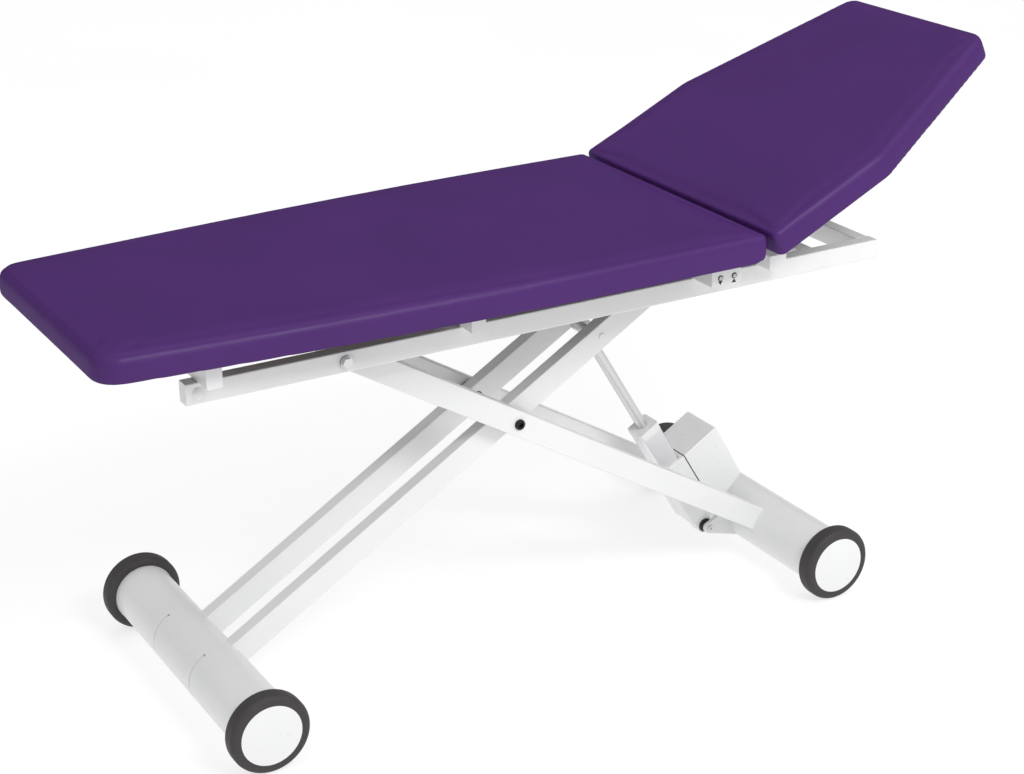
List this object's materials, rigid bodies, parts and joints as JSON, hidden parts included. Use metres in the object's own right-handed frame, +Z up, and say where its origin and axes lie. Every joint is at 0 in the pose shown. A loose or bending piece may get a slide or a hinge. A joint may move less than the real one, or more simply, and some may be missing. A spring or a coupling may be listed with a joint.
{
  "type": "examination couch",
  "caption": "Height-adjustable examination couch: padded purple leg section and tilting backrest on a white scissor frame with floor rings, driven by a linear actuator.",
  "frame": {"origin": "on the floor, below the middle of the couch's bounding box as stored", "axes": "+X from the foot end to the head end, +Y away from the side with the switches, +Z up"},
  "size_m": [1.9287, 0.666, 1.1145],
  "materials": {
    "white_paint": "satin",
    "purple_vinyl": "satin",
    "film_plywood": "satin",
    "grey_rubber": "matte",
    "white_plastic": "satin",
    "nylon": "satin",
    "steel": "satin",
    "aluminium": "satin",
    "black_steel": "satin",
    "black_plastic": "matte",
    "bronze": "satin",
    "circuit_board": "satin"
  },
  "bodies": {
    "head_wheels": {"head_hubs": "white_plastic", "head_rings": "grey_rubber"},
    "outer_frame": {"outer_legs": "white_paint", "head_base_tube": "white_paint", "head_axle_plugs": "steel", "top_pivot_tube": "white_paint", "top_pivot_bolts": "steel", "centre_pivot_pins": "black_steel", "actuator_lugs": "white_paint", "actuator_clevis_pin": "steel"},
    "top_frame": {"long_rails": "white_paint", "tube_end_plugs": "white_plastic", "cross_tubes": "white_paint", "dome_caps": "white_plastic", "roller_guides": "white_paint", "cushion_bars": "white_paint", "head_bar": "white_paint", "rest_buffers": "grey_rubber", "switch_box": "white_paint", "button_bezels": "black_plastic", "switch_board": "circuit_board", "leg_cushion": "purple_vinyl", "leg_board": "film_plywood", "board_screws": "steel", "hinge_leaves_frame": "white_paint", "hinge_friction_sleeves": "bronze", "top_pivot_bushes": "black_plastic"},
    "inner_frame": {"inner_legs": "white_paint", "foot_base_tube": "white_paint", "foot_axle_plugs": "steel", "centre_bushes": "black_plastic", "roller_axle": "steel", "rod_pin_plugs": "white_plastic"},
    "foot_wheel_near": {"foot_hub_near": "white_plastic", "foot_ring_near": "grey_rubber"},
    "foot_wheel_far": {"foot_hub_far": "white_plastic", "foot_ring_far": "grey_rubber"},
    "roller_near": {"guide_roller_near": "nylon"},
    "roller_far": {"guide_roller_far": "nylon"},
    "actuator_body": {"actuator_gear_case": "white_plastic", "actuator_motor_cover": "white_plastic", "actuator_rear_bush": "black_plastic", "actuator_cable_gland": "black_plastic", "actuator_tube": "aluminium", "actuator_head_block": "white_plastic", "spindle_bearing": "steel", "gearmotor": "steel", "control_board": "circuit_board"},
    "actuator_rod": {"actuator_rod": "steel", "rod_pin": "steel", "spindle_nut": "nylon"},
    "spindle": {"spindle": "steel", "spindle_gear": "steel"},
    "pinion": {"motor_pinion": "steel"},
    "backrest": {"back_cushion": "purple_vinyl", "back_board": "film_plywood", "hinge_leaves_back": "white_paint", "hinge_pins": "steel"},
    "button_down": {"button_down": "nylon"},
    "button_up": {"button_up": "nylon"}
  },
  "joints": [
    {"name": "lift", "type": "hinge", "parent": "head_wheels", "child": "outer_frame", "pos_m": [0.5526, 0, 0.078], "axis": [0, 1, 0], "range_deg": [-13.9, 3.1]},
    {"name": "centre_pivot", "type": "hinge", "parent": "outer_frame", "child": "inner_frame", "pos_m": [-0.08543, 0, 0.45982], "axis": [0, 1, 0], "range_deg": [-6.6, 28.2]},
    {"name": "top_pivot", "type": "hinge", "parent": "outer_frame", "child": "top_frame", "pos_m": [-0.48926, 0, 0.70154], "axis": [0, 1, 0], "range_deg": [-3.4, 14.2]},
    {"name": "foot_wheel_near_roll", "type": "hinge", "parent": "inner_frame", "child": "foot_wheel_near", "pos_m": [-0.7234, 0, 0.078], "axis": [0, 1, 0], "continuous": true},
    {"name": "foot_wheel_far_roll", "type": "hinge", "parent": "inner_frame", "child": "foot_wheel_far", "pos_m": [-0.7234, 0, 0.078], "axis": [0, 1, 0], "continuous": true},
    {"name": "roller_near_roll", "type": "hinge", "parent": "inner_frame", "child": "roller_near", "pos_m": [0.31846, 0, 0.70154], "axis": [0, 1, 0], "continuous": true},
    {"name": "roller_far_roll", "type": "hinge", "parent": "inner_frame", "child": "roller_far", "pos_m": [0.31846, 0, 0.70154], "axis": [0, 1, 0], "continuous": true},
    {"name": "actuator_pivot", "type": "hinge", "parent": "outer_frame", "child": "actuator_body", "pos_m": [0.4399, 0, 0.0666], "axis": [0, 1, 0], "range_deg": [-2.5, 0.7]},
    {"name": "rod_slide", "type": "slide", "parent": "actuator_body", "child": "actuator_rod", "axis": [-0.516, 0, 0.8566], "range_m": [-0.119, 0.028]},
    {"name": "spindle_turn", "type": "hinge", "parent": "actuator_body", "child": "spindle", "pos_m": [0.4399, 0, 0.0666], "axis": [-0.516, 0, 0.8566], "continuous": true},
    {"name": "pinion_turn", "type": "hinge", "parent": "actuator_body", "child": "pinion", "pos_m": [0.48102, 0, 0.09137], "axis": [-0.516, 0, 0.8566], "continuous": true},
    {"name": "backrest_tilt", "type": "hinge", "parent": "top_frame", "child": "backrest", "pos_m": [0.3488, 0, 0.7937], "axis": [0, -1, 0], "range_deg": [-25.6, 19.4]},
    {"name": "button_down_press", "type": "slide", "parent": "top_frame", "child": "button_down", "axis": [0, 1, 0], "range_m": [0, 0.0015], "stiffness_N_per_m": 1500, "springref_m": -0.0004},
    {"name": "button_up_press", "type": "slide", "parent": "top_frame", "child": "button_up", "axis": [0, 1, 0], "range_m": [0, 0.0015], "stiffness_N_per_m": 1500, "springref_m": -0.0004}
  ],
  "couplings": [
    {"joint": "centre_pivot", "follows": "lift", "ratio": -2},
    {"joint": "top_pivot", "follows": "lift", "ratio": -1},
    {"joint": "actuator_pivot", "follows": "lift", "ratio": 0.17016},
    {"joint": "rod_slide", "follows": "lift", "m_per_rad": 0.48046},
    {"joint": "spindle_turn", "follows": "lift", "ratio": -251.57},
    {"joint": "pinion_turn", "follows": "lift", "ratio": 267.8}
  ]
}
